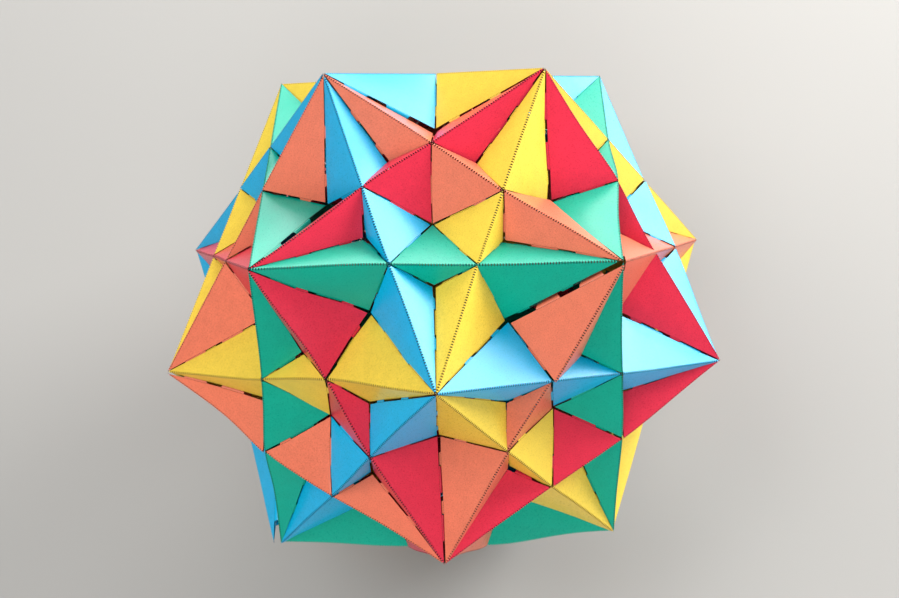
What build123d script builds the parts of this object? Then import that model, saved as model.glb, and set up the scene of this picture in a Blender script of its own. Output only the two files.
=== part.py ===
# Paper star of five interlocked cubes, each cube in its own card colour.
# Every cube edge shows as a row of three folded card modules: a tip, a middle and a tip.
# A module is one piece of card, folded along the cube edge and mitred down to the valleys round it.
# Tabs turned down along the valleys lie against the neighbour's tabs and hold the star together.
# Units are millimetres. +Z is up, and the star stands on the five ridges round one dimple, at z = 0.

from build123d import *
import math
import os

# Driving dimensions
cube_edge = 130.0  # from point to point along one cube edge
card_thickness = 0.3  # coloured card of about 220 g per square metre
corner_setback = 0.25  # each corner of a module stops this short, so neighbours never bind in a valley
tab_length = 10.0  # root of a tab, along its valley
tab_depth = 6.0  # how far a tab reaches into the star
tab_taper = 2.0  # how far each end of a tab slants in
tab_stagger = 5.0  # the two tabs of a pair lie this far apart along the valley, so they overlap by halves
long_seam_pairs = (0.34, 0.72)  # places of the two pairs on a long valley, as shares of it from the point
short_seam_pairs = (0.5,)  # place of the one pair on a shorter valley

# Proportions that five cubes crossing in one dodecahedron always have
golden = (1 + math.sqrt(5)) / 2
half_edge = cube_edge / 2
crossing_half = half_edge * (golden - 1) ** 3  # from the middle of a cube edge to where another crosses it
apex_inset = half_edge * (golden - 1) ** 2  # from that middle to the valley corners of a tip
wide_depth = half_edge * (golden - 1) ** 2  # depth of a tip's wide panel, and of a middle's dimple panel
thin_depth = half_edge * (golden - 1) ** 3  # depth of a tip's thin panel
brow_depth = half_edge * (golden - 1) ** 4  # depth of a middle's outer panel
centre_height = half_edge * math.sqrt(1 + 2 / math.sqrt(5))  # centre of the star above its base

# Corners of the modules on one master edge, along X on a cube that is centred on the origin.
# The wide and outer panels lie on the cube's top face, the thin and dimple panels on its back face.
point = Vector(-half_edge, half_edge, half_edge)
near_crossing = Vector(-crossing_half, half_edge, half_edge)
far_crossing = Vector(crossing_half, half_edge, half_edge)
wide_corner = Vector(-apex_inset, half_edge - wide_depth, half_edge)
thin_corner = Vector(-apex_inset, half_edge, half_edge - thin_depth)
brow_corner = Vector(0, half_edge - brow_depth, half_edge)
dimple_corner = Vector(0, half_edge, half_edge - wide_depth)


def folded_module(fold_middle, corners, pairs, sides):
    """One folded module, with the fold's outer corner on the cube edge.

    The corners run round it, and a valley runs from each to the next. For each valley, pairs gives the
    places of its pairs of tabs, as shares of its length, and sides, 1 or -1, says which half of each
    pair belongs to this module: the one nearer the valley's end, or the one nearer its start. Corners
    are set back towards fold_middle, the point of the fold between them.
    """
    starts = [corner + (fold_middle - corner).normalized() * corner_setback for corner in corners]
    ends = starts[1:] + starts[:1]
    # Sides of the valleys, through the star's centre: X along the valley, Y inwards, Z into the module
    valleys = [Plane(start, x_dir=end - start, z_dir=start.cross(end)) for start, end in zip(starts, ends)]
    with BuildPart() as module:
        # Blank: card folded square along the whole cube edge
        with BuildSketch(Plane.YZ):
            with BuildLine():
                Polyline(
                    (half_edge, half_edge),
                    (0, half_edge),
                    (0, half_edge - card_thickness),
                    (half_edge - card_thickness, half_edge - card_thickness),
                    (half_edge - card_thickness, 0),
                    (half_edge, 0),
                    close=True,
                )
            make_face()
        extrude(amount=half_edge, both=True)
        # Edges mitred to the middles of the valleys
        for valley in valleys:
            split(bisect_by=valley, keep=Keep.TOP)
        # Tabs turned down into the star
        for valley, start, end, places, side in zip(valleys, starts, ends, pairs, sides):
            for place in places:
                middle = (end - start).length * place + side * tab_stagger / 2
                with BuildSketch(valley):
                    with BuildLine():
                        Polyline(
                            (middle - tab_length / 2, 0),
                            (middle + tab_length / 2, 0),
                            (middle + tab_length / 2 - tab_taper, tab_depth),
                            (middle - tab_length / 2 + tab_taper, tab_depth),
                            close=True,
                        )
                    make_face()
                extrude(amount=card_thickness)
    return module.part


def tip_module(side):
    """The module from a point of the star to the first crossing, with the point at -X."""
    return folded_module(
        fold_middle=Vector(-apex_inset, half_edge, half_edge),
        corners=[point, wide_corner, near_crossing, thin_corner],
        pairs=[long_seam_pairs, short_seam_pairs, (), [1 - place for place in long_seam_pairs]],
        sides=[-side, side, side, side],
    )


# The two tips of a row are mirror twins in outline, and each has the other half of every pair of tabs
with BuildPart() as near_tip:
    add(tip_module(1))

with BuildPart() as far_tip:
    add(tip_module(-1))
    mirror(about=Plane.YZ, mode=Mode.REPLACE)

# Middle module, between the two crossings: an outer panel and one fifth of a dimple
with BuildPart() as middle_module:
    add(
        folded_module(
            fold_middle=Vector(0, half_edge, half_edge),
            corners=[near_crossing, brow_corner, far_crossing, dimple_corner],
            pairs=[(), (), short_seam_pairs, short_seam_pairs],
            sides=[1, 1, 1, 1],
        )
    )

# Turns that carry the master edge to the twelve edges of its cube
half_turns = [Rotation(0, 0, 0), Rotation(180, 0, 0), Rotation(0, 180, 0), Rotation(0, 0, 180)]
third_turns = [Location((0, 0, 0), (1, 1, 1), angle) for angle in (0, 120, 240)]

# The first cube leans until a dimple faces up, and the others follow it round by fifths of a turn
lean = Rotation(math.degrees(math.atan(golden)), 0, 0)
stand = Location((0, 0, centre_height))
colours = ["green", "yellow", "orange", "red", "blue"]

os.makedirs("parts", exist_ok=True)
for fifth, colour in enumerate(colours):
    fifth_turn = Rotation(0, 0, 72 * fifth)
    edge_turns = [third * half for third in third_turns for half in half_turns]
    for number, edge_turn in enumerate(edge_turns, start=1):
        with BuildPart() as edge_row:
            with Locations(stand * fifth_turn * lean * edge_turn):
                add(near_tip.part)
                add(middle_module.part)
                add(far_tip.part)
        edge_row.part.label = f"{colour}_edge_{number:02d}"
        export_step(edge_row.part, f"parts/{edge_row.part.label}.step")
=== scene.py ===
"""Paper star of five interlocked cubes, made of 180 folded modules of coloured card.

Every cube edge is a row of three modules: a tip, a middle and a tip. Each module is cut from flat card
with a perforated fold along its middle and tabs on its valley edges, so it is drawn here as a flat net,
folded over the fold, and then turned to its place. Lengths are in millimetres until a mesh is written.
"""

import logging
import math
from dataclasses import dataclass, field, replace
from enum import Enum

import bpy
import numpy as np
from mathutils import Matrix, Vector
from mathutils.geometry import delaunay_2d_cdt


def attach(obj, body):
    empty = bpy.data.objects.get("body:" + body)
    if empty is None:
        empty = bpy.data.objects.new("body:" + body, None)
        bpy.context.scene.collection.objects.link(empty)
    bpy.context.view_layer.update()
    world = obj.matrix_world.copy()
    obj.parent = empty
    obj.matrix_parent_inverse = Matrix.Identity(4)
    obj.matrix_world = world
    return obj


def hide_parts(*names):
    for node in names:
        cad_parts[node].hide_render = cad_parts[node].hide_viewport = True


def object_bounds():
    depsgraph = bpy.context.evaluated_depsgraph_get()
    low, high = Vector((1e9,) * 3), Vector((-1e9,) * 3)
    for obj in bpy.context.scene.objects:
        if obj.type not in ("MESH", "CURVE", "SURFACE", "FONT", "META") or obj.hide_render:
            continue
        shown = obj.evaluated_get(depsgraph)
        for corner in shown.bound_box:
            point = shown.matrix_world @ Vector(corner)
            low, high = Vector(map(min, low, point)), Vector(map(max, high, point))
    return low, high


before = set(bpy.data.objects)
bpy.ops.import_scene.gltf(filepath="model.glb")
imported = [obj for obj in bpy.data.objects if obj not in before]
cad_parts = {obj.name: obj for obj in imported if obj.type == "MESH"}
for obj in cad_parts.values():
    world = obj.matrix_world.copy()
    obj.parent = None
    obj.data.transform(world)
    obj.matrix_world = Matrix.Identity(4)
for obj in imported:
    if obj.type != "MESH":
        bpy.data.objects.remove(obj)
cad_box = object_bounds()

log = logging.getLogger("paper_star")

MM = 0.001
GOLDEN = (1 + math.sqrt(5)) / 2
STAR_SEED = 7

# Angles in air of the three kinds of valley that crossing cubes make, in degrees
VALLEY_ANGLES = (144, 120, 108)

# Tolerances of cutting and folding, in millimetres, and in square millimetres for the area
WELD = 1e-5
OFF_EDGE = 1e-6
ON_TAB = 1e-4
SLIVER_AREA = 1e-9

# Most values of a noise texture lie between these
NOISE_LOW, NOISE_HIGH = 0.3, 0.7


class Stock(Enum):
    """Card colours, in the order in which their cubes turn round the upright axis."""

    GREEN = "green"
    YELLOW = "yellow"
    ORANGE = "orange"
    RED = "red"
    BLUE = "blue"


class Part(Enum):
    """Places of a module in the row along one cube edge."""

    NEAR_TIP = "near_tip"
    MIDDLE = "middle"
    FAR_TIP = "far_tip"


class Hook(Enum):
    """Which tab of a pair this is: the one that lies across the gap, or the one that hooks under it."""

    OVER = "over"
    UNDER = "under"


def srgb_to_linear(hex_colour: str) -> tuple[float, float, float, float]:
    """Turn a colour as a screen shows it into the linear values that a shader takes.

    Args:
        hex_colour: six hex digits after a hash, such as "#12a089".

    Returns:
        Linear red, green and blue, and an alpha of 1.
    """
    levels = [int(hex_colour[i:i + 2], 16) / 255 for i in (1, 3, 5)]
    linear = [c / 12.92 if c <= 0.04045 else ((c + 0.055) / 1.055) ** 2.4 for c in levels]
    return (*linear, 1.0)


def add_node(tree: bpy.types.NodeTree, kind: str, settings: dict[str, object] | None = None,
             **inputs: object) -> bpy.types.Node:
    """Add a shader node, with its settings and its inputs.

    Args:
        tree: the node tree that the node goes into.
        kind: Blender's name of the node type.
        settings: properties of the node itself.
        **inputs: values or output sockets, by the input's name with spaces as underscores, or by its
            number after "in_".

    Returns:
        The new node.
    """
    node = tree.nodes.new(kind)
    for name, value in (settings or {}).items():
        setattr(node, name, value)
    for name, value in inputs.items():
        socket = node.inputs[int(name[3:]) if name.startswith("in_") else name.replace("_", " ")]
        if isinstance(value, bpy.types.NodeSocket):
            tree.links.new(value, socket)
        else:
            socket.default_value = value
    return node


@dataclass(frozen=True)
class DyedCard:
    """Craft card of 220 g, dyed through and lightly calendered.

    The dye gives an even, strong colour. The calendered face keeps a fine tooth and has a satin sheen,
    so facets that mirror the window turn pale. A paler band is painted along the fold as a highlight, and
    the cut edges are painted dark brown, a painted shade with some of the laser's scorch.
    A pair of tones or of roughness gives the lowest and the highest value across the surface.
    """

    stock: Stock
    face: str
    # Paler tone painted along the fold as a highlight
    fold_highlight: str
    # Dark brown painted on the cut edges: painted shade, with some of the laser's scorch
    cut_shade_and_scorch: str
    roughness: tuple[float, float] = (0.26, 0.36)
    specular: float = 0.32
    tooth_mm: float = 0.5
    tooth_height_mm: float = 0.012
    tooth_strength: float = 0.5
    tooth_tones: tuple[float, float] = (0.9, 1.06)
    formation_mm: float = 4.0
    formation_tones: tuple[float, float] = (0.95, 1.03)
    # Width and strength of the painted highlight along the fold
    fold_highlight_mm: float = 0.35
    fold_highlight_level: float = 0.25

    def material(self) -> bpy.types.Material:
        """Build the card's material from its colours and the real sizes of its texture.

        Returns:
            The material, which reads the net's coordinates and cut edges from the mesh.
        """
        material = bpy.data.materials.new(f"dyed_card_{self.stock.value}")
        material.use_nodes = True
        tree = material.node_tree
        tree.nodes.clear()
        # The net's own millimetres, with each module's number as depth, so no two modules match
        net = add_node(tree, "ShaderNodeAttribute", {"attribute_name": "net_mm"})
        across = add_node(tree, "ShaderNodeSeparateXYZ", Vector=net.outputs["Vector"])
        # Cloudy formation of the pulp, and the tooth of the surface. Real tooth is about 0.1 mm wide, too
        # fine to show, so it is drawn coarser
        clouds = add_node(tree, "ShaderNodeTexNoise", Vector=net.outputs["Vector"],
                          Scale=1 / self.formation_mm, Detail=3.0, Roughness=0.6)
        tooth = add_node(tree, "ShaderNodeTexNoise", Vector=net.outputs["Vector"],
                         Scale=1 / self.tooth_mm, Detail=2.0, Roughness=0.55)
        cloud_tone = add_node(tree, "ShaderNodeMapRange", Value=clouds.outputs["Fac"],
                              From_Min=NOISE_LOW, From_Max=NOISE_HIGH,
                              To_Min=self.formation_tones[0], To_Max=self.formation_tones[1])
        tooth_tone = add_node(tree, "ShaderNodeMapRange", Value=tooth.outputs["Fac"],
                              From_Min=NOISE_LOW, From_Max=NOISE_HIGH,
                              To_Min=self.tooth_tones[0], To_Max=self.tooth_tones[1])
        tone = add_node(tree, "ShaderNodeMath", {"operation": "MULTIPLY"}, in_0=cloud_tone.outputs[0],
                        in_1=tooth_tone.outputs[0])
        # Cut edges painted dark brown: painted shade in the holes and seams, with some scorch from the
        # laser
        cut = add_node(tree, "ShaderNodeAttribute", {"attribute_name": "cut_edge"})
        # A paler tone along the fold: a painted highlight where the rounded crest catches light
        distance = add_node(tree, "ShaderNodeMath", {"operation": "ABSOLUTE"}, in_0=across.outputs["Y"])
        fold_highlight_mask = add_node(tree, "ShaderNodeMapRange", {"interpolation_type": "SMOOTHSTEP"},
                        Value=distance.outputs[0], From_Min=0.0, From_Max=self.fold_highlight_mm,
                        To_Min=self.fold_highlight_level, To_Max=0.0)
        fold_lit = add_node(tree, "ShaderNodeMix", {"data_type": "RGBA"}, in_0=fold_highlight_mask.outputs[0],
                          in_6=srgb_to_linear(self.face), in_7=srgb_to_linear(self.fold_highlight))
        edged = add_node(tree, "ShaderNodeMix", {"data_type": "RGBA"}, in_0=cut.outputs["Fac"],
                         in_6=fold_lit.outputs[2], in_7=srgb_to_linear(self.cut_shade_and_scorch))
        toned = add_node(tree, "ShaderNodeVectorMath", {"operation": "SCALE"}, in_0=edged.outputs[2],
                         Scale=tone.outputs[0])
        bump = add_node(tree, "ShaderNodeBump", Strength=self.tooth_strength,
                        Distance=self.tooth_height_mm * MM, Height=tooth.outputs["Fac"])
        rough = add_node(tree, "ShaderNodeMapRange", Value=tooth.outputs["Fac"],
                         From_Min=NOISE_LOW, From_Max=NOISE_HIGH,
                         To_Min=self.roughness[0], To_Max=self.roughness[1])
        shader = add_node(tree, "ShaderNodeBsdfPrincipled", Base_Color=toned.outputs[0],
                          Roughness=rough.outputs[0], Normal=bump.outputs[0], Metallic=0.0, IOR=1.5,
                          Specular_IOR_Level=self.specular)
        add_node(tree, "ShaderNodeOutputMaterial", Surface=shader.outputs[0])
        return material


@dataclass(frozen=True)
class Die:
    """Sizes that the cutting die gives every module, in millimetres, and angles in degrees.

    Seated setback and lift belong to modules of the star's lower half, which its weight presses home.
    A hooked tab is joined to its panel over one half only, from the hook gap past its middle, and its
    other half is cut free up to the hook level. Long and short seam pairs are the places of pairs of
    tabs, as shares of a valley's length. The grid is the distance between points inside a panel.
    """

    card_thickness: float = 0.3
    corner_setback: float = 0.32
    seated_setback: float = 0.04
    seated_lift: float = 0.4
    fold_radius: float = 0.32
    fold_pitch: float = 1.0
    fold_cut: float = 0.56
    fold_cut_width: float = 1.25
    tab_length: float = 10.0
    small_tab_length: float = 7.0
    tab_depth: float = 6.0
    tab_taper: float = 2.0
    tab_stagger: float = 5.0
    tab_bend_radius: float = 1.3
    tab_crossing_angle: float = 12.0
    tab_pitch: float = 0.62
    tab_cut: float = 0.36
    tab_cut_width: float = 0.36
    hook_level: float = 1.9
    hook_gap: float = 0.25
    long_seam_pairs: tuple[float, ...] = (0.34, 0.72)
    short_seam_pairs: tuple[float, ...] = (0.5,)
    grid: float = 3.6
    grid_clearance: float = 0.9


@dataclass(frozen=True)
class Tab:
    """One tab of a net: the valley edge that it stands on, where it starts and ends, and its turn.

    Its root is the stretch of the edge that is still joined to the panel, and its turn is in radians.
    """

    start: np.ndarray
    along: np.ndarray
    outward: np.ndarray
    first: float
    last: float
    root: tuple[float, float]
    turn: float

    def on_edge(self, points: np.ndarray) -> tuple[np.ndarray, np.ndarray]:
        """Split points of the net into their distance along the edge and their distance out of it."""
        offset = points - self.start
        return offset @ self.along, offset @ self.outward

    def on_net(self, places: list[tuple[float, float]]) -> list[tuple[float, float]]:
        """Turn places given as distance along the edge and out of it into points of the net."""
        return [tuple(self.start + s * self.along + n * self.outward) for s, n in places]


@dataclass(frozen=True)
class Seam:
    """One valley edge of a net: its corners, and the places, half, length, turn and hook of its tabs."""

    start: tuple[float, float]
    end: tuple[float, float]
    places: tuple[float, ...]
    side: int
    length: float
    turn: float
    hook: Hook

    def frame(self) -> tuple[np.ndarray, np.ndarray, np.ndarray, float]:
        """Work out the edge's own directions.

        Returns:
            The edge's start, its direction, the direction out of the panel, and its length.
        """
        start, end = np.array(self.start), np.array(self.end)
        span = np.linalg.norm(end - start)
        along = (end - start) / span
        return start, along, np.array([-along[1], along[0]]), span


@dataclass
class FlatNet:
    """A module cut flat, as triangles. U runs along the fold, V across it, with the wide panel at +V.

    The rim is every edge with card on one side only, and the corners and seams run round the net from
    the low end of the fold, over the wide panel.
    """

    points: np.ndarray
    triangles: np.ndarray
    rim: np.ndarray
    tabs: list[Tab]
    seams: tuple[Seam, ...]
    corners: np.ndarray


@dataclass
class NetCutter:
    """Cuts the flat net of one kind of module: outline, perforations and a grid that lets it bend."""

    die: Die
    corners: tuple[tuple[float, float], ...]
    seams: tuple[Seam, ...]
    tabs: list[Tab] = field(default_factory=list)

    def cut(self) -> FlatNet:
        """Cut the net.

        Returns:
            The net as triangles, with its tabs and the edges round its rim and its holes.
        """
        outline = self._outline()
        holes = self._fold_holes() + self._tab_holes()
        lines = self._fold_lines() + self._tab_lines()
        points: list[tuple[float, float]] = []
        edges: list[tuple[int, int]] = []
        for ring in [outline, *holes]:
            first = len(points)
            points += ring
            edges += [(first + i, first + (i + 1) % len(ring)) for i in range(len(ring))]
        for line in lines:
            first = len(points)
            points += line
            edges += [(first + i, first + i + 1) for i in range(len(line) - 1)]
        points += self._grid()
        made = delaunay_2d_cdt([Vector(p) for p in points], edges, [], 1, WELD, False)
        flat = np.array([tuple(p) for p in made[0]])
        triangles = np.array([tuple(f) for f in made[2]])
        middles = flat[triangles].mean(axis=1)
        kept = self._inside(middles, outline)
        for hole in holes:
            kept &= ~self._inside(middles, hole)
        triangles = self._facing_up(flat, triangles[kept])
        used, triangles = np.unique(triangles, return_inverse=True)
        triangles = triangles.reshape(-1, 3)
        return FlatNet(flat[used], triangles, self._rim(triangles), self.tabs, self.seams,
                       np.array(self.corners))

    def _outline(self) -> list[tuple[float, float]]:
        """Walk round the net, out and back over every tab, and note each tab.

        Returns:
            Corners of the outline, in order.
        """
        die, ring = self.die, []
        for seam in self.seams:
            start, along, outward, span = seam.frame()
            ring.append(seam.start)
            for middle in sorted(span * place + seam.side * die.tab_stagger / 2 for place in seam.places):
                first, last = middle - seam.length / 2, middle + seam.length / 2
                slant = die.tab_taper * die.hook_level / die.tab_depth
                deep = [(first + die.tab_taper, die.tab_depth), (last - die.tab_taper, die.tab_depth)]
                if seam.hook is Hook.OVER:
                    root = (first, last)
                    walk = [(first, 0), *deep, (last, 0)]
                elif seam.side > 0:
                    root = (middle + die.hook_gap, last)
                    walk = [(root[0], 0), (root[0], die.hook_level), (first + slant, die.hook_level),
                            *deep, (last, 0)]
                else:
                    root = (first, middle - die.hook_gap)
                    walk = [(first, 0), *deep, (last - slant, die.hook_level), (root[1], die.hook_level),
                            (root[1], 0)]
                tab = Tab(start, along, outward, first, last, root, seam.turn)
                ring += tab.on_net(walk)
                self.tabs.append(tab)
        return ring

    def _fold_holes(self) -> list[list[tuple[float, float]]]:
        """Place small six-sided holes along the fold, one for each pitch.

        Returns:
            Corners of each hole.
        """
        die = self.die
        low, high = self.corners[0][0], self.corners[2][0]
        count = int((high - low) / die.fold_pitch)
        margin = ((high - low) - (count - 1) * die.fold_pitch) / 2
        holes = []
        for i in range(count):
            u = low + margin + i * die.fold_pitch
            long, short, wide = die.fold_cut / 2, die.fold_cut / 4, die.fold_cut_width / 2
            holes.append([(u - long, 0), (u - short, -wide), (u + short, -wide), (u + long, 0),
                          (u + short, wide), (u - short, wide)])
        return holes

    def _tab_holes(self) -> list[list[tuple[float, float]]]:
        """Place fine four-sided holes along the root of each tab.

        Returns:
            Corners of each hole.
        """
        die, holes = self.die, []
        long, wide = die.tab_cut / 2, die.tab_cut_width / 2
        for tab in self.tabs:
            length = tab.root[1] - tab.root[0]
            count = int(length / die.tab_pitch)
            margin = (length - (count - 1) * die.tab_pitch) / 2
            for i in range(count):
                s = tab.root[0] + margin + i * die.tab_pitch
                holes.append(tab.on_net([(s - long, 0), (s, -wide), (s + long, 0), (s, wide)]))
        return holes

    def _fold_lines(self) -> list[list[tuple[float, float]]]:
        """Draw lines along the fold where the bend starts, turns and ends.

        Returns:
            The ends of each line.
        """
        half_bend = self.die.fold_radius * math.pi / 4
        lines = []
        for share in (-1, -0.5, 0, 0.5, 1):
            v = share * half_bend
            apex = self.corners[1] if v > 0 else self.corners[3]
            reach = abs(v / apex[1])
            low = self.corners[0][0] + reach * (apex[0] - self.corners[0][0])
            high = self.corners[2][0] + reach * (apex[0] - self.corners[2][0])
            lines.append([(low, v), (high, v)])
        return lines

    def _tab_lines(self) -> list[list[tuple[float, float]]]:
        """Draw lines along each tab's root, in quarters of its bend.

        Returns:
            The ends of each line.
        """
        lines = []
        for tab in self.tabs:
            bend = self.die.tab_bend_radius * tab.turn
            for quarter in range(5):
                n = bend * quarter / 4
                slant = n * self.die.tab_taper / self.die.tab_depth
                low = max(tab.root[0], tab.first + slant)
                high = min(tab.root[1], tab.last - slant)
                lines.append(tab.on_net([(low, n), (high, n)]))
        return lines

    def _grid(self) -> list[tuple[float, float]]:
        """Spread points inside the panels, so that they can bend.

        Returns:
            Points of a grid of even triangles, clear of the fold and of the valley edges.
        """
        die = self.die
        ring = np.array(self.corners)
        low, high = ring.min(axis=0), ring.max(axis=0)
        rows = np.arange(low[1], high[1], die.grid * math.sqrt(3) / 2)
        grid = [(u + (die.grid / 2 if i % 2 else 0), v) for i, v in enumerate(rows)
                for u in np.arange(low[0], high[0], die.grid)]
        points = np.array(grid)
        kept = self._inside(points, [tuple(c) for c in ring]) & (abs(points[:, 1]) > die.grid_clearance)
        for seam in self.seams:
            start, _, outward, _ = seam.frame()
            kept &= (points - start) @ outward < -die.grid_clearance
        return [tuple(p) for p in points[kept]]

    @staticmethod
    def _inside(points: np.ndarray, ring: list[tuple[float, float]]) -> np.ndarray:
        """Say which points lie inside a closed ring.

        Args:
            points: points of the net.
            ring: corners of the ring, in order.

        Returns:
            True for each point inside.
        """
        inside = np.zeros(len(points), bool)
        x, y = points[:, 0], points[:, 1]
        for (x0, y0), (x1, y1) in zip(ring, ring[1:] + ring[:1]):
            if y0 == y1:
                continue
            crossing = (y0 > y) != (y1 > y)
            inside ^= crossing & (x < (x1 - x0) * (y - y0) / (y1 - y0) + x0)
        return inside

    @staticmethod
    def _facing_up(points: np.ndarray, triangles: np.ndarray) -> np.ndarray:
        """Turn every triangle so that its corners run anticlockwise in U and V.

        Args:
            points: points of the net.
            triangles: three numbers of points for each triangle.

        Returns:
            The turned triangles, without any that have no area.
        """
        a, b, c = (points[triangles[:, i]] for i in range(3))
        area = (b[:, 0] - a[:, 0]) * (c[:, 1] - a[:, 1]) - (b[:, 1] - a[:, 1]) * (c[:, 0] - a[:, 0])
        turned = triangles.copy()
        turned[area < 0] = triangles[area < 0][:, ::-1]
        return turned[abs(area) > SLIVER_AREA]

    @staticmethod
    def _rim(triangles: np.ndarray) -> np.ndarray:
        """Find the directed edges that have a triangle on one side only.

        Args:
            triangles: triangles that all run the same way round.

        Returns:
            Two numbers of points for each edge.
        """
        edges = np.concatenate([triangles[:, [0, 1]], triangles[:, [1, 2]], triangles[:, [2, 0]]])
        known = {tuple(e) for e in edges}
        return np.array([e for e in edges if (e[1], e[0]) not in known])


@dataclass(frozen=True)
class Fit:
    """How one module sits, in millimetres and degrees.

    Lift is away from the star's middle. Shift and rock are in the star's own axes, and rock turns the
    module about its own middle. A droop bends a panel's valley edges down, and a belly swells its middle.
    Wide close folds the wide panel past square, by this much at its corner, or opens it if below zero.
    """

    lift: float = 0.0
    shift: tuple[float, float, float] = (0.0, 0.0, 0.0)
    rock: tuple[float, float, float] = (0.0, 0.0, 0.0)
    wide_droop: float = 0.0
    thin_droop: float = 0.0
    wide_belly: float = 0.0
    thin_belly: float = 0.0
    wide_close: float = 0.0


@dataclass(frozen=True)
class Misfit:
    """How unevenly the modules sit, in millimetres and degrees.

    Lift is drawn evenly up to its value and droops between two values. Shift and rock have this spread
    about zero, and bellies a middle and a spread. A share of the modules is looser and shifts further.
    """

    lift: float = 0.4
    shift: float = 0.07
    rock: float = 0.2
    loose_share: float = 0.2
    loose_factor: float = 2.3
    wide_droop: tuple[float, float] = (0.05, 0.7)
    thin_droop: tuple[float, float] = (0.05, 0.4)
    wide_belly: tuple[float, float] = (0.05, 0.2)
    thin_belly: tuple[float, float] = (0.0, 0.1)

    def draw(self, chance: np.random.Generator) -> Fit:
        """Draw one module's small misfit.

        Args:
            chance: the star's seeded random numbers.

        Returns:
            How that module sits.
        """
        loose = self.loose_factor if chance.random() < self.loose_share else 1.0
        return Fit(lift=chance.uniform(0, self.lift), shift=tuple(chance.normal(0, self.shift, 3) * loose),
                   rock=tuple(chance.normal(0, self.rock, 3)), wide_droop=chance.uniform(*self.wide_droop),
                   thin_droop=chance.uniform(*self.thin_droop), wide_belly=chance.normal(*self.wide_belly),
                   thin_belly=chance.normal(*self.thin_belly))


@dataclass(frozen=True)
class Push:
    """A soft dent or bulge of the whole star, in millimetres from its middle.

    The shift is full at its place and fades to about a third of it at its reach.
    """

    place: tuple[float, float, float]
    reach: float
    shift: tuple[float, float, float]


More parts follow.
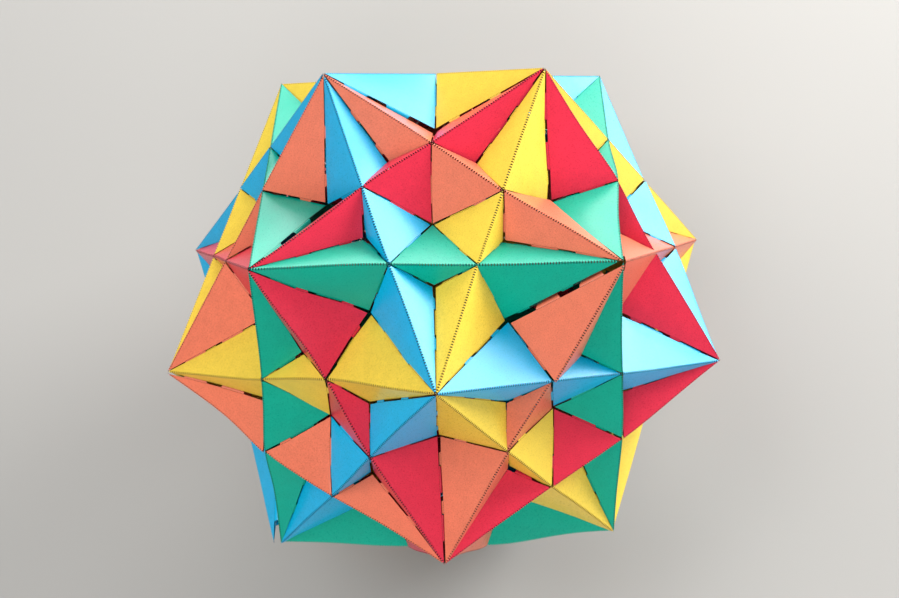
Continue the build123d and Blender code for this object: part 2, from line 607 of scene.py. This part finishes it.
@dataclass
class ModuleFolder:
    """Folds a flat net over the master cube edge, with its tabs turned in, and gives it its thickness.

    Droop reach is how far in from a valley edge a droop starts, and fold calm how far from the fold it
    is at its full. Settled is how far a module right under the star's middle is pressed in.
    """

    die: Die
    half_edge: float
    net: FlatNet
    droop_reach: float = 8.0
    fold_calm: float = 5.0
    settled: float = 0.8

    def looks_down(self, turn: np.ndarray) -> bool:
        """Say whether a module belongs to the star's lower half.

        Args:
            turn: rotation from the master edge to the module's cube edge.

        Returns:
            True if the middle of its fold lies below the star's middle.
        """
        low, _, high, _ = self.net.corners
        return (turn @ ((low[0] + high[0]) / 2, self.half_edge, self.half_edge))[2] < 0

    def fold(self, fit: Fit, turn: np.ndarray, centre: np.ndarray) -> np.ndarray:
        """Fold the net and carry it to its place.

        Args:
            fit: how this one module sits and bends.
            turn: rotation from the master edge to this module's cube edge.
            centre: middle of the star, in millimetres.

        Returns:
            Points of the card's outer face, and then of its inner face.
        """
        outer, normals = self._bend(fit)
        both = np.concatenate([outer, outer - normals * self.die.card_thickness]) @ turn.T
        pivot = both.mean(axis=0)
        away = pivot / np.linalg.norm(pivot)
        # The star's own weight closes its lower half a little
        lift = fit.lift + self.settled * min(away[2], 0)
        rock = np.eye(3)
        for axis, angle in zip("XYZ", fit.rock):
            rock = np.array(Matrix.Rotation(math.radians(angle), 3, axis)) @ rock
        return (both - pivot) @ rock.T + pivot + away * lift + np.array(fit.shift) + centre

    def _bend(self, fit: Fit) -> tuple[np.ndarray, np.ndarray]:
        """Bend the net over the fold and turn the tabs in.

        Args:
            fit: how this one module bends.

        Returns:
            Points of the card's outer face, and its normals there.
        """
        radius, half = self.die.fold_radius, self.half_edge
        u, v = self.net.points.T
        upper = v > 0
        lean = np.clip(math.pi / 4 - v / radius, 0, math.pi / 2)
        past = np.maximum(abs(v) - radius * math.pi / 4, 0)
        y = half - radius + radius * np.sin(lean) - past * upper
        z = half - radius + radius * np.cos(lean) - past * ~upper
        outer = np.stack([u, y, z], axis=1)
        normals = np.stack([np.zeros_like(u), np.sin(lean), np.cos(lean)], axis=1)
        on_panel = self.net.points.copy()
        bend = self.die.tab_bend_radius
        for tab in self.net.tabs:
            along, out = tab.on_edge(self.net.points)
            mine = (out > OFF_EDGE) & (along > tab.first - ON_TAB) & (along < tab.last + ON_TAB)
            angle = np.clip(out / bend, 0, tab.turn)[mine]
            rest = np.maximum(out - bend * tab.turn, 0)[mine]
            reach = bend * np.sin(angle) + rest * math.cos(tab.turn)
            down = bend * (1 - np.cos(angle)) + rest * math.sin(tab.turn)
            outward = self._in_space(tab.outward, upper=tab.start[1] + tab.outward[1] > 0)
            panel_normal = normals[mine]
            outer[mine] += np.outer(reach - out[mine], outward) - down[:, None] * panel_normal
            normals[mine] = panel_normal * np.cos(angle)[:, None] + np.outer(np.sin(angle), outward)
            on_panel[mine] -= np.outer(out[mine], tab.outward)
        flat_normals = np.where(upper[:, None], (0.0, 0.0, 1.0), (0.0, 1.0, 0.0))
        return outer + flat_normals * self._swell(on_panel, fit)[:, None], normals

    @staticmethod
    def _in_space(direction: np.ndarray, upper: bool) -> np.ndarray:
        """Turn a direction in the net into one in the master frame.

        Args:
            direction: U and V of the direction.
            upper: true on the upper, wide panel, and false on the back one.

        Returns:
            The direction in the master frame.
        """
        if upper:
            return np.array([direction[0], -direction[1], 0.0])
        return np.array([direction[0], 0.0, direction[1]])

    def _swell(self, points: np.ndarray, fit: Fit) -> np.ndarray:
        """Work out how far the panels stand out of their planes.

        Args:
            points: points of the net, with those of the tabs brought back to their roots.
            fit: the bellies in the panels' middles, the droops at their valleys and the wide panel's close.

        Returns:
            Millimetres outwards for each point.
        """
        low, wide, high, thin = self.net.corners
        calm = np.clip(abs(points[:, 1]) / self.fold_calm, 0, 1)
        calm = calm * calm * (3 - 2 * calm)
        swell = np.zeros(len(points))
        # Three shares that add up to one multiply to a 27th at most
        full_belly = 27
        panels = ((wide, fit.wide_droop, fit.wide_belly, fit.wide_close, self.net.seams[:2]),
                  (thin, fit.thin_droop, fit.thin_belly, 0.0, self.net.seams[2:]))
        for apex, droop, belly, close, seams in panels:
            mine = points[:, 1] * apex[1] > 0
            depth = np.clip(points[mine, 1] / apex[1], 0, 1)
            along = (points[mine, 0] - low[0] - depth * (apex[0] - low[0])) / (high[0] - low[0])
            rest = np.clip(1 - depth - along, 0, 1)
            swell[mine] = belly * full_belly * depth * np.clip(along, 0, 1) * rest - close * depth
            for seam in seams:
                start, _, outward, _ = seam.frame()
                inwards = np.clip((start - points[mine]) @ outward / self.droop_reach, 0, 1)
                swell[mine] -= droop * calm[mine] * (1 - inwards) ** 2
        return swell

    def faces(self) -> tuple[np.ndarray, np.ndarray]:
        """Close the card's surface.

        Returns:
            Triangles of the outer and inner faces, and the four-sided walls of the cut edges.
        """
        count = len(self.net.points)
        outer = self.net.triangles[:, ::-1]
        inner = self.net.triangles + count
        rim = self.net.rim
        walls = np.stack([rim[:, 0], rim[:, 1], rim[:, 1] + count, rim[:, 0] + count], axis=1)
        return np.concatenate([outer, inner]), walls


@dataclass
class PaperStar:
    """The whole star: its proportions, the sheets it is cut from and the place of every module.

    Half edge, centre and pushes are in millimetres. The texture step sets modules apart in the card's
    texture, and edges that turn by more than the crisp angle, in degrees, are drawn crisp.
    """

    half_edge: float
    centre: np.ndarray
    pushes: tuple[Push, ...] = ()
    die: Die = field(default_factory=Die)
    misfit: Misfit = field(default_factory=Misfit)
    texture_step: float = 9.7
    crisp_angle: float = 38.0

    def folders(self, setback: float) -> dict[Part, ModuleFolder]:
        """Cut the three kinds of net and make the folder of each.

        Args:
            setback: how far each corner stops short, which sets how open the seams are.

        Returns:
            The folder of each kind of module.
        """
        crossing, inset, brow = (self.half_edge * (GOLDEN - 1) ** power for power in (3, 2, 4))
        # A tab turns by half of its valley's angle in air, less the angle at which it crosses its twin
        flat, steep, steepest = (math.radians(air / 2 - self.die.tab_crossing_angle)
                                 for air in VALLEY_ANGLES)
        long_pairs, short_pairs = self.die.long_seam_pairs, self.die.short_seam_pairs
        back_pairs = tuple(1 - place for place in long_pairs)
        big, small = self.die.tab_length, self.die.small_tab_length
        # The nets run round from the low end of the fold, over the wide panel, to its high end
        tip = [(-self.half_edge, 0), (-inset, inset), (-crossing, 0), (-inset, -crossing)]
        tip_tabs = [(long_pairs, big, flat), (short_pairs, big, steep), (short_pairs, small, steepest),
                    (back_pairs, big, steep)]
        middle = [(-crossing, 0), (0, brow), (crossing, 0), (0, -inset)]
        middle_tabs = [(short_pairs, small, steepest)] * 2 + [(short_pairs, big, flat)] * 2
        over, under = Hook.OVER, Hook.UNDER
        return {
            Part.NEAR_TIP: self._folder(tip, tip_tabs, sides=(-1, 1, 1, 1), hooks=(over,) * 4,
                                        hub=-inset, setback=setback),
            Part.MIDDLE: self._folder(middle, middle_tabs, sides=(1, 1, 1, 1),
                                      hooks=(under, under, over, under), hub=0, setback=setback),
            Part.FAR_TIP: self._folder(tip, tip_tabs, sides=(1, -1, -1, -1),
                                       hooks=(under, under, over, under), hub=-inset, setback=setback,
                                       mirrored=True),
        }

    def _folder(self, corners: list[tuple[float, float]],
                tabs: list[tuple[tuple[float, ...], float, float]], sides: tuple[int, ...],
                hooks: tuple[Hook, ...], hub: float, setback: float,
                mirrored: bool = False) -> ModuleFolder:
        """Cut one net and make its folder.

        Args:
            corners: low end of the fold, wide corner, high end and thin corner, before they are set back.
            tabs: for each valley edge, the places of its tabs, their length and their turn.
            sides: for each valley edge, which half of each pair is this module's.
            hooks: for each valley edge, whether its tabs lie over or under their twins.
            hub: place on the fold that the corners are set back towards.
            setback: how far they are set back.
            mirrored: true for a net that is the mirror image across the fold's middle.

        Returns:
            The folder of that net.
        """
        # A rounded fold takes this much less card than a sharp one
        saved = self.die.fold_radius * (1 - math.pi / 4)
        ring = []
        for corner in np.array(corners, float):
            inward = np.array([hub, 0]) - corner
            set_back = corner + inward / np.linalg.norm(inward) * setback
            if set_back[1]:
                set_back[1] -= math.copysign(saved, set_back[1])
            ring.append(set_back)
        seams = [Seam(tuple(ring[i]), tuple(ring[(i + 1) % 4]), places, sides[i], length, turn, hooks[i])
                 for i, (places, length, turn) in enumerate(tabs)]
        if mirrored:
            flip = np.array([-1, 1])
            ring = [ring[i] * flip for i in (2, 1, 0, 3)]
            seams = [replace(seam, start=tuple(np.array(seam.end) * flip),
                             end=tuple(np.array(seam.start) * flip),
                             places=tuple(1 - place for place in seam.places), side=-seam.side)
                     for seam in (seams[1], seams[0], seams[3], seams[2])]
        net = NetCutter(self.die, tuple(tuple(c) for c in ring), tuple(seams)).cut()
        return ModuleFolder(self.die, self.half_edge, net)

    def rows(self) -> list[tuple[str, Stock, np.ndarray]]:
        """List the sixty cube edges in the frame's order.

        Returns:
            The frame's name, the card and the rotation from the master edge, for each.
        """
        half_turns = [Matrix.Diagonal(d) for d in ((1, 1, 1), (1, -1, -1), (-1, 1, -1), (-1, -1, 1))]
        third_turns = [Matrix.Rotation(math.radians(a), 3, Vector((1, 1, 1))) for a in (0, 120, 240)]
        lean = Matrix.Rotation(math.atan(GOLDEN), 3, "X")
        made = []
        for fifth, stock in enumerate(Stock):
            about = Matrix.Rotation(math.radians(72 * fifth), 3, "Z")
            for number in range(12):
                turn = about @ lean @ third_turns[number // 4] @ half_turns[number % 4]
                made.append((f"{stock.value}_edge_{number + 1:02d}", stock, np.array(turn)))
        return made

    def build(self, cards: dict[Stock, bpy.types.Material],
              sprung: dict[str, Fit]) -> list[bpy.types.Object]:
        """Fold, place and dress all the modules.

        Args:
            cards: the material of each card colour.
            sprung: modules that sit in a way of their own, by name.

        Returns:
            The modules' objects.
        """
        chance = np.random.default_rng(STAR_SEED)
        # The star's weight seats the modules of its lower half closer together
        loose, seated = self.folders(self.die.corner_setback), self.folders(self.die.seated_setback)
        modules = []
        for row, stock, turn in self.rows():
            for part in Part:
                name, drawn, folder = f"{row}_{part.value}", self.misfit.draw(chance), loose[part]
                if folder.looks_down(turn):
                    folder = seated[part]
                    drawn = replace(drawn, lift=-self.die.seated_lift, shift=(0, 0, 0))
                points = self._pushed(folder.fold(sprung.get(name, drawn), turn, self.centre))
                piece = self._piece(name, points, folder, len(modules), cards[stock])
                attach(piece, "root")
                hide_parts(row)
                modules.append(piece)
            log.info("%s: three modules folded from %s card", row, stock.value)
        return modules

    def _pushed(self, points: np.ndarray) -> np.ndarray:
        """Carry points with the star where it is dented or bulges.

        Args:
            points: points of one module in its place, in millimetres.

        Returns:
            The points with all the pushes added.
        """
        offset, moved = points - self.centre, points.copy()
        for push in self.pushes:
            distance = np.linalg.norm(offset - np.array(push.place), axis=1)
            moved += np.outer(np.exp(-(distance / push.reach) ** 2), push.shift)
        return moved

    def _piece(self, name: str, points: np.ndarray, folder: ModuleFolder, number: int,
               card: bpy.types.Material) -> bpy.types.Object:
        """Write one module's mesh, with its net's coordinates for the card's texture.

        Args:
            name: the module's name.
            points: its outer face's points in their places, and then its inner face's, in millimetres.
            folder: the folder that it came from.
            number: how many modules were written before it.
            card: its material.

        Returns:
            The module's object.
        """
        triangles, walls = folder.faces()
        mesh = bpy.data.meshes.new(name)
        mesh.from_pydata((points * MM).tolist(), [], triangles.tolist() + walls.tolist())
        depth = np.full(len(points), number * self.texture_step)
        net = np.column_stack([np.tile(folder.net.points, (2, 1)), depth])
        mesh.attributes.new("net_mm", "FLOAT_VECTOR", "POINT").data.foreach_set("vector", net.ravel())
        # Cut-edge walls, which the card paints dark brown: painted shade in holes and seams, with some
        # laser scorch
        cut_wall_shade = np.repeat((0.0, 1.0), (len(triangles), len(walls)))
        mesh.attributes.new("cut_edge", "FLOAT", "FACE").data.foreach_set("value", cut_wall_shade)
        mesh.shade_smooth()
        mesh.set_sharp_from_angle(angle=math.radians(self.crisp_angle))
        mesh.materials.append(card)
        piece = bpy.data.objects.new(name, mesh)
        bpy.context.scene.collection.objects.link(piece)
        return piece


@dataclass(frozen=True)
class SoftLamp:
    """One soft lamp: its place from the star's middle and its sides, in metres, and its power."""

    name: str
    place: tuple[float, float, float]
    sides: tuple[float, float]
    watts: float


@dataclass
class Studio:
    """Pale floor, plain fill, soft lamps, and the camera at the photograph's view.

    Floor reach and the clip distances are in metres. Eye and aim are in millimetres from the star's
    middle.
    """

    centre: Vector
    lamps: tuple[SoftLamp, ...]
    eye: tuple[float, float, float] = (20.0, -246.6, 628.6)
    aim: tuple[float, float, float] = (2.3, 1.5, 0.0)
    roll_deg: float = -4.96
    lens_mm: float = 67.6
    sensor_mm: float = 36.0
    clip: tuple[float, float] = (0.01, 20.0)
    floor_colour: str = "#a8a6a2"
    floor_roughness: float = 0.9
    floor_reach: float = 3.0
    fill_colour: str = "#f4f6fa"
    fill_strength: float = 0.3

    def build(self) -> None:
        """Set up floor, world, lamps and camera."""
        self._floor()
        self._world()
        for lamp in self.lamps:
            self._hang(lamp)
        self._camera()

    def _floor(self) -> None:
        """Lay a wide floor of matt painted board under the star, which gives a plain, soft shadow."""
        mesh = bpy.data.meshes.new("floor")
        reach = self.floor_reach
        corners = [(-reach, -reach, 0), (reach, -reach, 0), (reach, reach, 0), (-reach, reach, 0)]
        mesh.from_pydata(corners, [], [(0, 1, 2, 3)])
        floor = bpy.data.objects.new("floor", mesh)
        bpy.context.scene.collection.objects.link(floor)
        material = bpy.data.materials.new("matt_painted_board")
        material.use_nodes = True
        tree = material.node_tree
        tree.nodes.clear()
        shader = add_node(tree, "ShaderNodeBsdfPrincipled", Base_Color=srgb_to_linear(self.floor_colour),
                          Roughness=self.floor_roughness)
        add_node(tree, "ShaderNodeOutputMaterial", Surface=shader.outputs[0])
        mesh.materials.append(material)

    def _world(self) -> None:
        """Fill the shadows with plain pale light."""
        world = bpy.data.worlds.new("studio")
        bpy.context.scene.world = world
        world.use_nodes = True
        background = world.node_tree.nodes["Background"]
        background.inputs["Color"].default_value = srgb_to_linear(self.fill_colour)
        background.inputs["Strength"].default_value = self.fill_strength

    def _hang(self, lamp: SoftLamp) -> None:
        """Hang one soft lamp, turned to the star's middle.

        Args:
            lamp: the lamp to hang.
        """
        light = bpy.data.lights.new(lamp.name, "AREA")
        light.shape = "RECTANGLE"
        light.size, light.size_y = lamp.sides
        light.energy = lamp.watts
        hung = bpy.data.objects.new(lamp.name, light)
        hung.location = self.centre + Vector(lamp.place)
        hung.rotation_euler = (self.centre - hung.location).to_track_quat("-Z", "Y").to_euler()
        bpy.context.scene.collection.objects.link(hung)

    def _camera(self) -> None:
        """Stand the camera where the photograph was taken from."""
        data = bpy.data.cameras.new("camera")
        data.sensor_width, data.lens = self.sensor_mm, self.lens_mm
        data.clip_start, data.clip_end = self.clip
        camera = bpy.data.objects.new("camera", data)
        eye, aim = (self.centre + Vector(p) * MM for p in (self.eye, self.aim))
        look = (aim - eye).to_track_quat("-Z", "Y").to_matrix()
        turned = look @ Matrix.Rotation(math.radians(self.roll_deg), 3, "Z")
        camera.matrix_world = Matrix.Translation(eye) @ turned.to_4x4()
        bpy.context.scene.collection.objects.link(camera)
        bpy.context.scene.camera = camera


# Each card's face colour, its paler tone painted along the fold as a highlight, and its dark brown painted
# on cut edges as shade with some scorch
CARDS = (
    DyedCard(Stock.GREEN, face="#00ab8f", fold_highlight="#5cc4b0", cut_shade_and_scorch="#0d4a3c"),
    DyedCard(Stock.YELLOW, face="#f4d24a", fold_highlight="#f8e58a", cut_shade_and_scorch="#8a6420"),
    DyedCard(Stock.ORANGE, face="#ea7a5c", fold_highlight="#f2a088", cut_shade_and_scorch="#74301c"),
    DyedCard(Stock.RED, face="#e02e48", fold_highlight="#e87080", cut_shade_and_scorch="#661420"),
    DyedCard(Stock.BLUE, face="#00b3e6", fold_highlight="#74d0f0", cut_shade_and_scorch="#0b4c6a"),
)

# Modules that sit in a way of their own. Some have let go a little, so that gaps open beside them, and
# some are folded tighter or wider than square
SPRUNG = {
    "orange_edge_12_near_tip": Fit(lift=0.2, shift=(0.8, -0.7, -0.2), wide_droop=0.1, thin_droop=0.1,
                                   wide_belly=0.2, thin_belly=0.5),
    "green_edge_01_far_tip": Fit(shift=(-1.1, 0.1, 0.0), wide_droop=0.3, thin_droop=0.1, wide_belly=-0.1),
    "orange_edge_07_near_tip": Fit(shift=(1.0, 0.0, 0.0), wide_droop=0.2, thin_droop=0.2),
    "red_edge_01_far_tip": Fit(wide_droop=0.5, thin_droop=0.3, wide_close=2.5),
    "orange_edge_01_far_tip": Fit(wide_droop=0.1, thin_droop=0.2, wide_close=1.4),
    "red_edge_12_near_tip": Fit(shift=(0.5, 0.0, 0.0), wide_droop=0.3, thin_droop=0.2),
    "orange_edge_12_far_tip": Fit(shift=(0.5, -0.2, 0.0), wide_droop=0.2, thin_droop=0.2),
    "blue_edge_04_near_tip": Fit(shift=(-2.0, 0.3, 0.1), rock=(0.0, 0.0, -2.7), wide_droop=0.2,
                                 thin_droop=0.2),
    "blue_edge_01_near_tip": Fit(shift=(0.1, -0.6, -0.25), wide_droop=0.15, thin_droop=0.15),
    "orange_edge_12_middle": Fit(shift=(-0.45, -0.35, -0.15), wide_droop=0.1, thin_droop=0.1),
    "red_edge_01_middle": Fit(wide_droop=0.1, thin_droop=0.1, wide_close=-1.2),
    "orange_edge_01_middle": Fit(wide_droop=0.1, thin_droop=0.1, wide_close=-1.0),
    "orange_edge_03_near_tip": Fit(shift=(-0.5, -0.8, -0.3), wide_droop=0.2, thin_droop=0.2),
}

# Where the star has settled out of true: its top leans, its front left opens, and its right side and
# the foot of its front bulge
PUSHES = (
    Push(place=(0, 5, 85), reach=35, shift=(-1.6, 0.1, 0.0)),
    Push(place=(-20, 10, 85), reach=20, shift=(0.0, 1.4, 0.6)),
    Push(place=(25, 0, 85), reach=18, shift=(0.2, -1.3, -0.5)),
    Push(place=(-30, -38, 66), reach=22, shift=(0.9, 3.8, 1.5)),
    Push(place=(-50, -44, 54), reach=18, shift=(0.2, 1.3, 0.5)),
    Push(place=(-45, -70, 25), reach=28, shift=(-1.5, -3.2, -1.3)),
    Push(place=(14, -68, 46), reach=26, shift=(-1.5, 0.3, 0.1)),
    Push(place=(24, -78, 12), reach=18, shift=(-1.8, -1.8, -0.7)),
    Push(place=(58, -52, 22), reach=32, shift=(2.4, -0.9, -0.3)),
    Push(place=(85, 8, 10), reach=25, shift=(1.6, 0.0, 0.0)),
    Push(place=(42, 15, 68), reach=15, shift=(1.2, -0.5, -0.2)),
    Push(place=(65, 24, 62), reach=18, shift=(1.6, 0.8, 0.3)),
    Push(place=(-68, 22, 30), reach=18, shift=(1.5, 1.8, 0.7)),
    Push(place=(-65, -63, 21), reach=15, shift=(-1.3, -1.1, -0.4)),
    Push(place=(-65, -90, -21), reach=26, shift=(-0.4, -1.9, -0.8)),
    Push(place=(-20, -92, -24), reach=28, shift=(0.0, -4.3, -1.7)),
    Push(place=(20, -92, -24), reach=24, shift=(0.0, -4.3, -1.7)),
)

# Soft light from behind the star and from its back right corner, from above, and a little from the
# right and from the camera's side
LAMPS = (
    SoftLamp("window", place=(0.05, 1.0, 0.3), sides=(0.7, 0.5), watts=9.3),
    SoftLamp("side_window", place=(0.8, 0.6, 0.4), sides=(0.5, 0.5), watts=15.5),
    SoftLamp("right_fill", place=(1.0, -0.6, 0.2), sides=(0.7, 0.4), watts=2.5),
    SoftLamp("ceiling", place=(-0.7, 0.1, 1.2), sides=(0.8, 0.8), watts=9.0),
    SoftLamp("camera_side", place=(-0.1, -1.1, 1.0), sides=(0.8, 0.8), watts=9.5),
)


def main() -> None:
    """Build the star and the studio round it."""
    logging.basicConfig(level=logging.INFO, format="%(name)s: %(message)s")
    low, high = cad_box
    centre = (low + high) / 2
    half_edge = (high.z - low.z) / 2 / math.sqrt(1 + 2 / math.sqrt(5)) / MM
    star = PaperStar(half_edge=half_edge, centre=np.array(centre) / MM, pushes=PUSHES)
    modules = star.build({card.stock: card.material() for card in CARDS}, SPRUNG)
    log.info("%d modules, %d triangles", len(modules),
             sum(len(m.data.loops) - 2 * len(m.data.polygons) for m in modules))
    Studio(centre=centre, lamps=LAMPS).build()
    bpy.context.scene.view_settings.view_transform = "Standard"
    bpy.context.view_layer.update()


if __name__ == "__main__":
    main()
